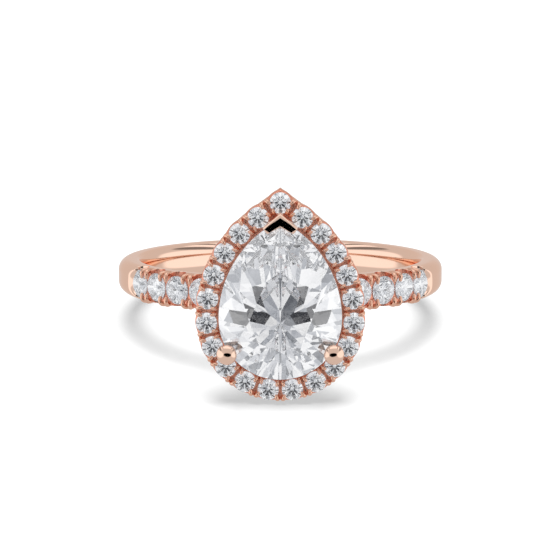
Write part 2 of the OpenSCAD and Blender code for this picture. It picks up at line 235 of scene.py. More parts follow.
def rose_gold(name, light, dark, polish, grain=(9000.0, 0.05, 0.00001)):
    """Polished rose gold: colour drifting a little with the alloy, fine polishing marks and soft wear.
    light and dark are the ends of the drift, polish the lowest and highest roughness, and grain the
    scale, strength and height of the polishing marks, or of the tool marks on a cut surface."""
    material, tree, shader, add = new_material(name)
    shader.inputs["Metallic"].default_value = 1.0
    coords = add("ShaderNodeTexCoord")
    alloy = add("ShaderNodeTexNoise", Scale=260.0, Detail=2.0)
    colours = add("ShaderNodeMix", data_type="RGBA")
    colours.inputs[6].default_value = (*light, 1)
    colours.inputs[7].default_value = (*dark, 1)
    wear = add("ShaderNodeTexNoise", Scale=900.0, Detail=4.0, Roughness=0.6)
    rough = add("ShaderNodeMapRange")
    rough.inputs["To Min"].default_value = polish[0]
    rough.inputs["To Max"].default_value = polish[1]
    marks = add("ShaderNodeTexNoise", Scale=grain[0], Detail=3.0, Roughness=0.7)
    bump = add("ShaderNodeBump", Strength=grain[1], Distance=grain[2])
    shader.inputs["Specular Tint"].default_value = (*EDGE_TINT, 1)
    link = tree.links.new
    for texture in (alloy, wear, marks):
        link(coords.outputs["Object"], texture.inputs["Vector"])
    link(alloy.outputs["Fac"], colours.inputs[0])
    link(colours.outputs[2], shader.inputs["Base Color"])
    link(wear.outputs["Fac"], rough.inputs["Value"])
    link(rough.outputs["Result"], shader.inputs["Roughness"])
    link(marks.outputs["Fac"], bump.inputs["Height"])
    link(bump.outputs["Normal"], shader.inputs["Normal"])
    return material


def diamond(name, clear, clouded, polish, grain=None):
    """Diamond, its colour drifting between two tints and its polish between two roughnesses. grain is
    the scale and height of the frosting on a bruted girdle."""
    material, tree, shader, add = new_material(name)
    shader.inputs["IOR"].default_value = DIAMOND_IOR
    shader.inputs["Transmission Weight"].default_value = 1.0
    coords = add("ShaderNodeTexCoord")
    cloud = add("ShaderNodeTexNoise", Scale=700.0, Detail=2.0)
    colours = add("ShaderNodeMix", data_type="RGBA")
    colours.inputs[6].default_value = (*clear, 1)
    colours.inputs[7].default_value = (*clouded, 1)
    rough = add("ShaderNodeMapRange")
    rough.inputs["To Min"].default_value = polish[0]
    rough.inputs["To Max"].default_value = polish[1]
    link = tree.links.new
    link(coords.outputs["Object"], cloud.inputs["Vector"])
    link(cloud.outputs["Fac"], colours.inputs[0])
    link(cloud.outputs["Fac"], rough.inputs["Value"])
    link(colours.outputs[2], shader.inputs["Base Color"])
    link(rough.outputs["Result"], shader.inputs["Roughness"])
    if grain:
        frost = add("ShaderNodeTexNoise", Scale=grain[0], Detail=3.0)
        bump = add("ShaderNodeBump", Strength=0.6, Distance=grain[1])
        link(coords.outputs["Object"], frost.inputs["Vector"])
        link(frost.outputs["Fac"], bump.inputs["Height"])
        link(bump.outputs["Normal"], shader.inputs["Normal"])
    return material


GOLD = rose_gold("rose_gold_polished", (0.88, 0.62, 0.495), (0.85, 0.585, 0.460), (0.045, 0.12))
# Pave gold: darker and redder than the polished gold, which is painted shade in the recesses between the
# stones, with rougher, tool-marked cut metal
SHADED_PAVE_GOLD = rose_gold("rose_gold_pave_painted_shade", (0.88, 0.42, 0.30), (0.70, 0.27, 0.18), (0.20, 0.38),
                      (4500.0, 0.9, 0.00005))
# Prong gold: darker and redder than the polished gold, which is painted shade between the stones
SHADED_BEAD_GOLD = rose_gold("rose_gold_beads_painted_shade", (0.84, 0.53, 0.41), (0.72, 0.40, 0.28), (0.08, 0.20),
                      (6000.0, 0.5, 0.00003))
CENTRE_DIAMOND = diamond("diamond_centre", (1.0, 1.0, 1.0), (0.965, 0.972, 0.99), (0.0, 0.012))
SIDE_DIAMOND = diamond("diamond_side", (0.97, 0.975, 0.98), (0.88, 0.90, 0.925), (0.0, 0.012))
BRUTED_DIAMOND = diamond("diamond_bruted_girdle", (0.97, 0.97, 0.98), (0.88, 0.89, 0.92), (0.3, 0.5),
                         (30000.0, 0.000005))

# ---- Making pieces ----


def make_piece(name, bm, place, material, slot, nodes, smooth_angle=None):
    """Turns a mesh in a frame's millimetres into a piece that rides on the ring and replaces CAD nodes."""
    bmesh.ops.recalc_face_normals(bm, faces=bm.faces)
    bm.transform(place)
    mesh = bpy.data.meshes.new(name)
    bm.to_mesh(mesh)
    bm.free()
    mesh.materials.append(material)
    # The second slot holds the pave gold with painted shade for gold pieces, and the frosted girdle for
    # stones
    mesh.materials.append(SHADED_PAVE_GOLD if slot == "rose_gold" else BRUTED_DIAMOND)
    if smooth_angle is None:
        mesh.shade_flat()
    else:
        mesh.shade_smooth()
        mesh.set_sharp_from_angle(angle=math.radians(smooth_angle))
    piece = bpy.data.objects.new(name, mesh)
    bpy.context.scene.collection.objects.link(piece)
    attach(piece, "root")
    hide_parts(*nodes)
    # Stones stay clean white: what they show through is the studio and not the metal behind them.
    # The floor takes shadows from the softbox alone, and no warm light off the gold.
    piece.visible_transmission = slot != "rose_gold"
    piece.visible_diffuse = False
    return piece


def loft(bm, rings, closed=False):
    """Skins a list of rings of points, each a closed loop of the same length."""
    loops = [[bm.verts.new(p) for p in ring] for ring in rings]
    n = len(loops[0])
    pairs = list(zip(loops, loops[1:]))
    if closed:
        pairs.append((loops[-1], loops[0]))
    for a, b in pairs:
        for i in range(n):
            bm.faces.new((a[i], a[(i + 1) % n], b[(i + 1) % n], b[i]))
    if not closed:
        bm.faces.new(loops[0][::-1])
        bm.faces.new(loops[-1])


def tube(bm, path, radii, sides=24, closed=False, flat=1.0):
    """A round tube along a path, its radius given at each point. Open ends are domed, flat being the
    dome's height as a fraction of its radius."""
    path = [Vector(p) for p in path]
    last = len(path) - 1
    turns = [2 * math.pi * k / sides for k in range(sides)]
    rings = []
    up = None
    for i, p in enumerate(path):
        if closed:
            along = (path[(i + 1) % len(path)] - path[i - 1]).normalized()
        else:
            along = (path[min(i + 1, last)] - path[max(i - 1, 0)]).normalized()
        up = up or along.orthogonal().normalized()
        up = (up - along * up.dot(along)).normalized()
        side = along.cross(up)

        def ring(centre, r):
            return [centre + r * (math.cos(t) * up + math.sin(t) * side) for t in turns]

        ends = [] if closed or i not in (0, last) else [
            ring(p + (-1 if i == 0 else 1) * flat * radii[i] * math.sin(a) * along, radii[i] * math.cos(a))
            for a in (math.pi / 2 * k / 7 for k in range(1, 7))]
        if i == 0:
            rings += ends[::-1]
        rings.append(ring(p, radii[i]))
        if i == last:
            rings += ends
    loft(bm, rings, closed=closed)


def smooth_path(points, steps):
    """Points along a Catmull-Rom curve through the given ones."""
    points = [Vector(p) for p in points]
    ends = [2 * points[0] - points[1]] + points + [2 * points[-1] - points[-2]]
    out = []
    for i in range(1, len(ends) - 2):
        a, b, c, d = ends[i - 1 : i + 3]
        for k in range(steps):
            t = k / steps
            out.append(0.5 * (2 * b + (c - a) * t + (2 * a - 5 * b + 4 * c - d) * t ** 2
                              + (3 * b - 3 * c + d - a) * t ** 3))
    out.append(points[-1])
    return out


def curved_prong(bm, place, points, radii):
    """A bent prong: a tapering tube through a few points of a local frame."""
    with_radius = smooth_path([(*p, r) for p, r in zip(points, radii)], 4)
    tube(bm, [place @ Vector(p[:3]) for p in with_radius], [p[3] for p in with_radius], sides=12)


def boolean(bm, tool, operation):
    """The result of a boolean between two meshes, which it uses up."""
    objects = []
    for part in (bm, tool):
        bmesh.ops.recalc_face_normals(part, faces=part.faces)
        mesh = bpy.data.meshes.new("boolean")
        part.to_mesh(mesh)
        part.free()
        objects.append(bpy.data.objects.new("boolean", mesh))
        bpy.context.scene.collection.objects.link(objects[-1])
    modifier = objects[0].modifiers.new("boolean", "BOOLEAN")
    modifier.object = objects[1]
    modifier.operation = operation
    modifier.solver = "EXACT"
    out = bmesh.new()
    out.from_mesh(objects[0].evaluated_get(bpy.context.evaluated_depsgraph_get()).data)
    for mesh in [o.data for o in objects]:
        bpy.data.meshes.remove(mesh)
    return out


def cylinder(bm, place, r, low, high, sides=32):
    """A cylinder along z of a local frame, between two heights."""
    turns = [2 * math.pi * k / sides for k in range(sides)]
    loft(bm, [[place @ Vector((r * math.cos(t), r * math.sin(t), z)) for t in turns] for z in (low, high)])


# ---- Stones ----


def pear_curve(s, offset):
    """Point of the right half of the pear's edge carried out by offset. s runs from 0 at the tip
    through 1 where the round end starts to 2 at its middle."""
    r = PEAR_R + offset
    if s >= 1:
        a = -math.pi / 2 * (s - 1)
        return Vector((r * math.cos(a), r * math.sin(a)))
    a = math.acos(PEAR_C / (PEAR_C + r)) * (1 - s)
    return Vector(((PEAR_C + r) * math.cos(a) - PEAR_C, (PEAR_C + r) * math.sin(a)))


def both_sides(right):
    """A closed outline from its right half, tip first. Its two end points lie on the mirror line."""
    return right + [Vector((-p.x, *p[1:])) for p in right[-2:0:-1]]


def pear_support(a):
    """Point of the pear's edge that lies furthest in direction a."""
    b = math.asin(math.sin(a))
    tip = math.acos(PEAR_C / (PEAR_C + PEAR_R))
    if b > tip:
        return Vector((0, PEAR_H))
    p = pear_curve(1 - b / tip if b > 0 else 1 - b / (math.pi / 2), 0)
    return Vector((math.copysign(p.x, math.cos(a)), p.y))


def cut_brilliant(outline, support, table, crown, girdle, pavilion, first, culet=Vector((0, 0))):
    """Grinds a brilliant out of a prism: table, bezels, stars and upper girdle facets on the crown,
    mains and lower girdle facets on the pavilion. Its girdle's upper edge is at z = 0."""
    bm = bmesh.new()
    # The rough prism is a fifth taller and deeper than the finished stone
    top, bottom = crown * 1.2, -girdle - pavilion * 1.2
    loft(bm, [[(*p, bottom) for p in outline], [(*p, top) for p in outline]])

    def grind(a, b, c):
        """Cuts off what lies beyond the plane through three points."""
        a, b, c = Vector(a), Vector(b), Vector(c)
        normal = (b - a).cross(c - a).normalized()
        if normal.dot(a - Vector((0, 0, -girdle))) < 0:
            normal = -normal
        geom = bm.verts[:] + bm.edges[:] + bm.faces[:]
        cut = bmesh.ops.bisect_plane(bm, geom=geom, plane_co=a, plane_no=normal, dist=1e-6,
                                     clear_outer=True)
        edges = [e for e in cut["geom_cut"] if isinstance(e, bmesh.types.BMEdge)]
        bmesh.ops.holes_fill(bm, edges=edges, sides=0)

    step = 2 * math.pi / MAINS
    turns = [first + k * step for k in range(MAINS)]
    touches = [support(a) for a in turns]
    reach = [p.dot(Vector((math.cos(a), math.sin(a)))) for p, a in zip(touches, turns)]
    star_out = 1 - STAR_TIP * (1 - table)
    for k in range(MAINS):
        a, b, ra, rb = turns[k], turns[k] + step, reach[k], reach[(k + 1) % MAINS]
        corner = Vector((ra * math.sin(b) - rb * math.sin(a), rb * math.cos(a) - ra * math.cos(b)))
        corner /= math.sin(step)
        touch, after = touches[k], touches[(k + 1) % MAINS]
        across = Vector((-math.sin(a), math.cos(a)))
        star = Vector((*(star_out * corner), STAR_TIP * crown))
        low = Vector((*culet.lerp(corner, LOWER_TIP), -girdle - pavilion * (1 - LOWER_TIP)))
        grind((*touch, 0), (*(touch + across), 0), (*(table * touch), crown))
        grind((*touch, -girdle), (*(touch + across), -girdle), (*culet, -girdle - pavilion))
        grind((*(table * touch), crown), (*(table * after), crown), star)
        for quarter in (0.25, 0.75):
            a = turns[k] + quarter * step
            touch = support(a)
            across = Vector((-math.sin(a), math.cos(a)))
            grind((*touch, 0), (*(touch + across), 0), star)
            grind((*touch, -girdle), (*(touch + across), -girdle), low)
    grind((0, 0, crown), (1, 0, crown), (0, 1, crown))
    bmesh.ops.dissolve_degenerate(bm, dist=1e-5, edges=bm.edges)
    bm.normal_update()
    # The girdle's faces are the upright ones, and only they are frosted
    for face in bm.faces:
        face.material_index = int(abs(face.normal.z) < 0.02)
    return bm


def cut_pear():
    """The pear brilliant, its girdle's upper edge at z = 0."""
    half = [pear_curve(2 * k / 100, 0) for k in range(101)]
    return cut_brilliant(both_sides(half), pear_support, PEAR_TABLE, PEAR_CROWN, PEAR_GIRDLE,
                         PEAR_PAVILION, math.pi / 2, PEAR_CULET)


def make_stones():
    """The pear, the halo stones and the shoulder stones, each where its CAD node is."""
    make_piece("pear_diamond", cut_pear(), HEAD @ Matrix.Translation((0, 0, GIRDLE_Z)), CENTRE_DIAMOND,
               "centre_diamond", ["centre_stone"])

    def round_stone(node, place, d):
        def edge(a):
            return d / 2 * Vector((math.cos(a), math.sin(a)))

        bm = cut_brilliant([edge(math.pi * k / 48) for k in range(96)], edge, TABLE, CROWN * d,
                           GIRDLE * d, PAVILION * d, 0)
        make_piece(node.replace("stone", "diamond"), bm, place, SIDE_DIAMOND, "side_diamond", [node])

    for node, spot in HALO_SPOTS.items():
        turn = Matrix.Rotation(math.atan2(spot.y, spot.x), 4, "Z")
        round_stone(node, HEAD @ Matrix.Translation(spot) @ turn, HALO_D)
    for side, sign in (("left", -1), ("right", 1)):
        for node, angle in zip(SHOULDER_NODES, SHOULDER_ANGLES):
            place = shoulder_place(sign * angle) @ Matrix.Translation((0, 0, SHOULDER_SPOT.z))
            round_stone(node.replace("right", side), place, SHOULDER_D)


# ---- Shank ----


def soft_min(a, b, k):
    """The smaller of two heights, with the corner between them rounded over a width k."""
    h = max(k - abs(a - b), 0.0) / k
    return min(a, b) - h * h * k / 4


def shank_profile(z):
    """Radius of the plain shank's outer face at a place z across its width."""
    over = max(abs(z) - (SHANK_HALF - OUTER_ROUND), 0.0)
    return SHANK_R - OUTER_ROUND + math.sqrt(max(OUTER_ROUND ** 2 - over ** 2, 0.0))


def shank_radius(a, z):
    """Radius of the shank's outer face at angle a from the head and place z across its width: the
    plain profile, the pave channel, the seat below each stone and the U cut through under it."""
    seat_r = SHOULDER_D / 2 + SEAT_CLEAR
    before = (SHOULDER_ANGLES[0] - SHOULDER_STEP / 2 - CHANNEL_LEAD - a) * SHANK_R
    after = (a - SHOULDER_ANGLES[-1]) * SHANK_R
    outside = END_SLOPE * (math.hypot(after, z) - seat_r) if after > 0 else START_SLOPE * before
    r = soft_min(shank_profile(z), SHOULDER_FLOOR + max(outside, 0.0), 0.06)
    for stone in SHOULDER_ANGLES:
        x = abs(SHOULDER_FLOOR * math.sin(a - stone))
        if abs(a - stone) < SHOULDER_STEP:
            cone = SHOULDER_FLOOR + (math.hypot(x, z) / seat_r - 1) * SEAT_DEEP * SHOULDER_D
            notch = SHOULDER_FLOOR + NOTCH_SLOPE * (x - NOTCH_R)
            if x < NOTCH_R:
                notch = SHOULDER_FLOOR - math.sqrt(NOTCH_R ** 2 - x ** 2)
            r = soft_min(r, min(cone, notch) / math.cos(a - stone), 0.07)
    return r


def make_shank():
    """The shank as one closed skin, finer over the shoulders, with a hole drilled below each stone."""
    flat = SHANK_HALF - OUTER_ROUND
    across = [flat + OUTER_ROUND * math.sin(math.pi / 2 * k / 14) for k in range(14, 0, -1)]
    across += [flat * (1 - k / 6) for k in range(6)]
    across += [0.0] + [-z for z in across[::-1]]
    flat = SHANK_HALF - COMFORT
    arc = [math.pi / 2 * k / 16 for k in range(17)]
    inner = [(FINGER_R + INNER_ROUND * (1 - math.sin(t)), flat + COMFORT * math.cos(t)) for t in arc]
    inner = [(r, -z) for r, z in inner] + [(FINGER_R, z * flat) for z in (-0.5, 0, 0.5)] + inner[::-1]
    fine_from = SHOULDER_ANGLES[0] - math.radians(9)
    fine_to = SHOULDER_ANGLES[-1] + math.radians(7)
    fine = int((fine_to - fine_from) / FINE_STEP)
    turns = [fine_from * k / 8 for k in range(8)]
    turns += [fine_from + (fine_to - fine_from) * k / fine for k in range(fine)]
    turns += [fine_to + (math.pi - fine_to) * k / 260 for k in range(261)]
    turns += [-a for a in turns[-2:0:-1]]
    rings = []
    for turn in turns:
        ring = [(shank_radius(abs(turn), z), z) for z in across] + inner
        rings.append([Vector((r * math.sin(turn), -r * math.cos(turn), z)) for r, z in ring])
    bm = bmesh.new()
    loft(bm, rings, closed=True)
    drills = bmesh.new()
    for sign in (-1, 1):
        for angle in SHOULDER_ANGLES:
            place = Matrix.Rotation(sign * angle, 4, "Z") @ HEAD_TURN
            cylinder(drills, place, SHOULDER_DRILL / 2, FINGER_R - 0.3, SHOULDER_FLOOR - 0.1)
    bm = boolean(bm, drills, "DIFFERENCE")
    # Only the plain skin is polished, and the pave channel and the holes are left as cut. They also get the
    # darker, redder pave gold, which paints the shade in these recesses
    for face in bm.faces:
        spot = face.calc_center_median()
        r = math.hypot(spot.x, spot.y)
        past_flat = min(max(abs(spot.z) - flat, 0) / COMFORT, 1)
        bore = FINGER_R + INNER_ROUND * (1 - math.sqrt(1 - past_flat ** 2))
        inside = bore + 0.05 < r < shank_profile(spot.z) - 0.03 and abs(spot.z) < SHANK_HALF - 0.02
        after = (abs(math.atan2(spot.x, -spot.y)) - SHOULDER_ANGLES[-1]) * SHANK_R
        bevel = after > 0 and math.hypot(after, spot.z) > SHOULDER_D / 2 + SEAT_CLEAR
        face.material_index = int(inside and not bevel)
    make_piece("shank_band", bm, RING, GOLD, "rose_gold", ["shank"], smooth_angle=50)


def make_shoulder_prongs():
    """Split prongs: a pair bent over the girdles at each edge, before the first stone and between all.
    Their points are in the shoulder frame, from the middle of the gap on the channel's floor."""
    for side, sign in (("left", -1), ("right", 1)):
        bm = bmesh.new()
        for angle in SHOULDER_ANGLES:
            place = Matrix.Rotation(sign * (angle - SHOULDER_STEP / 2), 4, "Z") @ HEAD_TURN
            place = place @ Matrix.Translation((0, 0, SHOULDER_FLOOR))
            # e is the edge of the shank and p the stone that the prong leans towards
            for e in (-1, 1):
                for p in (-1, 1):
                    points = [(p * 0.07, e * 0.92, -0.4), (p * 0.13, e * 0.94, -0.05),
                              (p * 0.20, e * 0.90, 0.17), (p * 0.25, e * 0.76, 0.28),
                              (p * 0.25, e * 0.54, 0.28)]
                    curved_prong(bm, place, points, (0.13, 0.15, 0.155, 0.14, 0.105))
        # The prongs' darker, redder gold is painted shade between the stones
        make_piece(f"shoulder_claws_{side}", bm, RING, SHADED_BEAD_GOLD, "rose_gold", [f"shoulder_prongs_{side}"],
                   smooth_angle=80)


# ---- Halo ----


def halo_edge(s):
    """Point of the right half of the halo's edge. Above the arcs it runs straight up to the point."""
    out = PEAR_C + PEAR_R + HALO_OUT
    touch = math.atan2(HALO_POINT, PEAR_C) - math.acos(out / math.hypot(PEAR_C, HALO_POINT))
    tip = math.acos(PEAR_C / out)
    a = tip * (1 - s)
    if s >= 1 or a < touch:
        return pear_curve(s, HALO_OUT)
    share = (tip - a) / (tip - touch)
    end = Vector((out * math.cos(touch) - PEAR_C, out * math.sin(touch)))
    return Vector((0, HALO_POINT)).lerp(end, share)


def make_halo_plate():
    """The plate as one closed skin round its opening, with a seat sunk below each stone."""
    steps, lanes = 260, 34
    seat_r = HALO_D / 2 + SEAT_CLEAR
    spots = [Vector(p[:2]) for p in HALO_SPOTS.values() if p.x > -HALO_D]
    arc = [math.pi / 2 * j / 6 for j in range(7)]

    def seated(p, z):
        """Height of the face at p: z itself, or less where a seat is sunk into it."""
        for spot in spots:
            out = (p - spot).length / seat_r
            if out < 1.3:
                z = soft_min(z, HALO_TOP + (out - 1) * SEAT_DEEP * HALO_D, 0.04)
        return z

    halves = []
    for k in range(steps + 1):
        s = 2 * k / steps
        inner, outer = pear_curve(s, HALO_IN), halo_edge(s)
        across = (outer - inner).normalized()
        past = min((outer - spot).length for spot in spots) - (HALO_OUT - HALO_LINE)
        outer -= min(DIP_SHARE * max(past, 0), HALO_DIP) * across
        width = (outer - inner).length
        face = [(x * (width - HALO_ROUND) / lanes, 0) for x in range(1, lanes)]
        face += [(width - HALO_ROUND * (1 - math.sin(t)), HALO_ROUND * (1 - math.cos(t))) for t in arc]
        ring = []
        for x, drop in face:
            p = inner + x * across
            ring.append((*p, seated(p, HALO_TOP - drop)))
        ring += [(*outer, HALO_TOP / 2 + HALO_BOTTOM / 2)]
        ring += [(*(outer - HALO_FILLET * (1 - math.cos(t)) * across),
                  HALO_BOTTOM + HALO_FILLET * (1 - math.sin(t))) for t in arc]
        ring += [(*outer.lerp(inner, share), HALO_BOTTOM) for share in (0.15, 0.4, 0.6, 0.85)]
        ring += [(*inner, HALO_BOTTOM + share * (HALO_TOP - HALO_BOTTOM)) for share in (0.04, 0.5, 0.96)]
        halves.append([Vector(v) for v in ring])
    mirrored = [[Vector((-v.x, v.y, v.z)) for v in ring] for ring in halves[-2:0:-1]]
    bm = bmesh.new()
    loft(bm, halves + mirrored, closed=True)
    drills = bmesh.new()
    for spot in HALO_SPOTS.values():
        place = Matrix.Translation((*spot[:2], 0))
        cylinder(drills, place, HALO_DRILL / 2, HALO_BOTTOM - 0.2, HALO_TOP - 0.2, sides=24)
    bm = boolean(bm, drills, "DIFFERENCE")
    # The back and the sides are polished, and the face and the holes are left as cut. They also get the
    # darker, redder pave gold, which paints the shade between the stones and in the holes
    for face in bm.faces:
        spot = face.calc_center_median()
        near = min((spot.xy - p.xy).length for p in HALO_SPOTS.values())
        in_hole = near < HALO_DRILL / 2 + 0.01 and spot.z > HALO_BOTTOM + 0.01
        face.material_index = int(in_hole or spot.z > HALO_TOP - HALO_ROUND)
    make_piece("halo_bed", bm, HEAD, GOLD, "rose_gold", ["halo_plate"], smooth_angle=50)


def halo_order():
    """Names of the halo stones round the ring, from the tip down the right side and back up the left."""
    def number(node):
        return int(node.rsplit("_", 1)[1])

    right = sorted((n for n in HALO_SPOTS if "right" in n), key=number)
    left = sorted((n for n in HALO_SPOTS if "left" in n), key=number)
    return ["halo_stone_tip"] + right + left[::-1]


def make_halo_prongs():
    """Split prongs: at each gap between stones a pair on the outer edge and a pair beside the pear.
    Their points are along the gap's row of stones, out from it, and up the head frame."""
    order = halo_order()
    aim = Vector(((CLAW_LOW.x + CLAW_HIGH.x) / 2, (CLAW_LOW.y + CLAW_HIGH.y) / 2))
    outer, inner = bmesh.new(), bmesh.new()
    for k, node in enumerate(order):
        a, b = HALO_SPOTS[node], HALO_SPOTS[order[(k + 1) % len(order)]]
        middle = (a + b) / 2
        along = (b - a).normalized()
        out = Vector((0, 0, 1)).cross(along)
        if out.dot(middle - Vector((0, PEAR_R / 2, middle.z))) < 0:
            out = -out
        place = Matrix.Translation((*middle[:2], 0)) @ Matrix((along, out, (0, 0, 1))).transposed().to_4x4()
        for p in (-1, 1):
            points = [(p * 0.13, 0.52, HALO_TOP - 0.3), (p * 0.15, 0.53, HALO_TOP + 0.05),
                      (p * 0.20, 0.46, HALO_TOP + 0.2), (p * 0.23, 0.33, HALO_TOP + 0.23)]
            curved_prong(outer, place, points, (0.12, 0.14, 0.13, 0.085))
            # A round claw takes the place of the inner pair, and at the tip there is less room for one
            at_claw = (Vector((abs(middle.x), middle.y)) - aim).length < CLAW_ROOM
            at_tip = k in (0, len(order) - 1)
            if not at_claw:
                d = 0.28 if at_tip else 0.47
                points = [(p * 0.10, -d, HALO_TOP - 0.2), (p * 0.12, -d, HALO_TOP + 0.06),
                          (p * 0.17, 0.1 - d, HALO_TOP + 0.19), (p * 0.2, 0.2 - d, HALO_TOP + 0.21)]
                curved_prong(inner, place, points, (0.1, 0.115, 0.11, 0.075))
    for name, bm in (("outer", outer), ("inner", inner)):
        # The prongs' darker, redder gold is painted shade between the stones
        make_piece(f"halo_claws_{name}", bm, HEAD, SHADED_BEAD_GOLD, "rose_gold", [f"halo_prongs_{name}"],
                   smooth_angle=80)


# ---- Gallery and claws ----


def make_gallery():
    """The pear wire under the stone, its saddle on the shank and the posts up to the halo."""
    bm = bmesh.new()
    path = both_sides([pear_curve(2 * k / 60, WIRE_IN) for k in range(61)])
    tube(bm, [(*p, WIRE_Z) for p in path], [WIRE_R] * len(path), sides=32, closed=True)
    make_piece("gallery_loop", bm, HEAD, GOLD, "rose_gold", ["gallery_wire"], smooth_angle=60)

    order = halo_order()
    for node in (n for n in frame["nodes"] if n.startswith("gallery_post")):
        words = node.split("_")
        bm = bmesh.new()
        if words[-1] == "bottom":
            out, top = Vector((0, -1)), Vector((0, -PEAR_R - POST_OUT))
        else:
            gap = POST_GAPS[int(words[-1]) - 1]
            a, b = (HALO_SPOTS[order[gap + k]] for k in (0, 1))
            out = Vector((a.y - b.y, b.x - a.x)).normalized()
            top = Vector(((a + b) / 2)[:2]) - (HALO_LINE - POST_OUT) * out
            if words[-2] == "left":
                out, top = Vector((-out.x, out.y)), Vector((-top.x, top.y))
        foot = top - (POST_OUT - WIRE_IN) * out
        ends = Vector((*foot, WIRE_Z)), Vector((*top, HALO_BOTTOM + 0.05))
        path = [ends[0].lerp(ends[1], k / 16) for k in range(17)]
        # A little thinner than its radius along the middle, flared at both ends
        flare = [POST_R * (0.85 + 0.35 * abs(2 * k / 16 - 1) ** 5) for k in range(17)]
        tube(bm, path, flare, sides=28)
        make_piece(node.replace("post", "strut"), bm, HEAD, GOLD, "rose_gold", [node], smooth_angle=60)


def make_saddle():
    """The saddle between the shank and the gallery wire, a little waisted, round at both ends."""
    low, high = box_in("gallery_saddle", HEAD)
    half_w, half_l = (high.y - low.y) / 2, high.x
    middle = (high.y + low.y) / 2
    turns = [2 * math.pi * k / 64 for k in range(64)]
    rings = []
    for k in range(13):
        share = k / 12
        z = (low.z - SADDLE_SINK) * (1 - share) + WIRE_Z * share
        r = half_w - SADDLE_WAIST * math.sin(math.pi * share)
        rings.append([Vector((math.copysign(half_l - half_w, math.cos(t)) + r * math.cos(t),
                              middle + r * math.sin(t), z)) for t in turns])
    bm = bmesh.new()
    loft(bm, rings)
    make_piece("saddle", bm, HEAD, GOLD, "rose_gold", ["gallery_saddle"], smooth_angle=50)


def pear_room():
    """The centre stone grown by a hair's breadth, for cutting the claws' seats."""
    bm = cut_pear()
    bm.transform(Matrix.Translation((0, 0, GIRDLE_Z)) @ Matrix.Scale(1.008, 4))
    return bm


def make_claws():
    """The two round claws, each a wire with a low button over the stone's edge."""
    for side, sign in (("left", -1), ("right", 1)):
        dome = Vector((CLAW_HIGH.x - CLAW_DOME_R, CLAW_LOW.y + CLAW_DOME_R, CLAW_HIGH.z - CLAW_DOME_H))
        aim = Vector((dome.x, dome.y, 0)).normalized()
        foot = (PEAR_R + WIRE_IN) * aim + Vector((0, 0, WIRE_Z))
        neck = dome - 0.1 * aim - Vector((0, 0, 0.55))
        points = [foot, foot.lerp(neck, 0.5), neck, dome - 0.03 * aim - Vector((0, 0, 0.2)), dome]
        radii = (CLAW_WIRE_R, CLAW_WIRE_R, CLAW_WIRE_R, 0.53, CLAW_DOME_R)
        path = smooth_path([(*p, r) for p, r in zip(points, radii)], 6)
        bm = bmesh.new()
        tube(bm, [p[:3] for p in path], [min(p[3], CLAW_DOME_R) for p in path], sides=40,
             flat=CLAW_DOME_H / CLAW_DOME_R)
        bm = boolean(bm, pear_room(), "DIFFERENCE")
        bm.transform(Matrix.Diagonal((sign, 1, 1, 1)))
        make_piece(f"round_claw_{side}", bm, HEAD, GOLD, "rose_gold", [f"claw_{side}"], smooth_angle=60)


def inset(outline, by):
    """A polygon with each of its edges moved inwards by its own distance. It runs anticlockwise."""
    count = len(outline)
    lines = []
    for k in range(count):
        a, b = outline[k], outline[(k + 1) % count]
        inwards = Vector((a.y - b.y, b.x - a.x)).normalized()
        lines.append((inwards, inwards.dot(a) + by[k]))
    points = []
    for k in range(count):
        (n, c), (m, d) = lines[k - 1], lines[k]
        cross = n.x * m.y - n.y * m.x
        points.append(Vector(((c * m.y - d * n.y) / cross, (n.x * d - m.x * c) / cross)))
    return points


def make_v_claw():
    """The V claw: a chevron with a flat polished top and rolled edges, on a body that fits round the
    stone's tip, and the wire that carries it."""
    def chevron_edge(half, corner_y, end_x, end_y, crotch, tip):
        """Outline from the tip down the left leg, round the crotch and up the right leg. half is the
        half width at the legs' outer corners, end_x and end_y are the legs' inner ends, and heights
        are counted from the stone's tip."""
        left = [(-half, corner_y), (-end_x, end_y), (-0.1, crotch - 0.04)]
        right = [(-x, y) for x, y in left[::-1]]
        return [Vector((x, PEAR_H + y)) for x, y in [(0, tip), *left, (0, crotch), *right]]

    outline = chevron_edge(V_HIGH.x, -0.44, 0.75, -0.75, -0.38, 0.45)
    flat = chevron_edge(0.87, -0.48, 0.61, -0.66, -0.29, 0.15)
    step = HALO_TOP + V_STEP_H
    rings = [[Vector((*p, step)) for p in outline]]
    for k in range(9):
        t = math.pi / 2 * k / 8
        shape = [p.lerp(q, 1 - math.cos(t)) for p, q in zip(outline, flat)]
        rings.append([Vector((*p, V_HIGH.z - V_ROLL_H * (1 - math.sin(t)))) for p in shape])
    # A narrow border keeps the mirror-flat top flat out to its edge
    rings.append([Vector((*p, V_HIGH.z)) for p in inset(flat, [0.01] * len(flat))])
    chevron = bmesh.new()
    loft(chevron, rings)
    body, sleeve = bmesh.new(), bmesh.new()
    loft(body, [[Vector((*p, z)) for p in outline] for z in (V_LOW_Z, step + 0.02)])
    edge = both_sides([pear_curve(2 * k / 40, 0.06) for k in range(41)])
    loft(sleeve, [[Vector((*p, z)) for p in edge] for z in (V_LOW_Z - 1, step + 1)])
    body = boolean(body, sleeve, "INTERSECT")
    bm = boolean(chevron, body, "UNION")
    wire = bmesh.new()
    tube(wire, [(0, PEAR_H + WIRE_IN + 0.1, WIRE_Z), (0, PEAR_H - 0.55, V_LOW_Z + 0.35)],
         [CLAW_WIRE_R] * 2, sides=32)
    bm = boolean(boolean(bm, wire, "UNION"), pear_room(), "DIFFERENCE")
    make_piece("v_claw_cap", bm, HEAD, GOLD, "rose_gold", ["v_claw"], smooth_angle=35)


make_stones()
make_shank()
make_shoulder_prongs()
make_halo_plate()
make_halo_prongs()
make_gallery()
make_saddle()
make_claws()
make_v_claw()

# ---- Stage ----

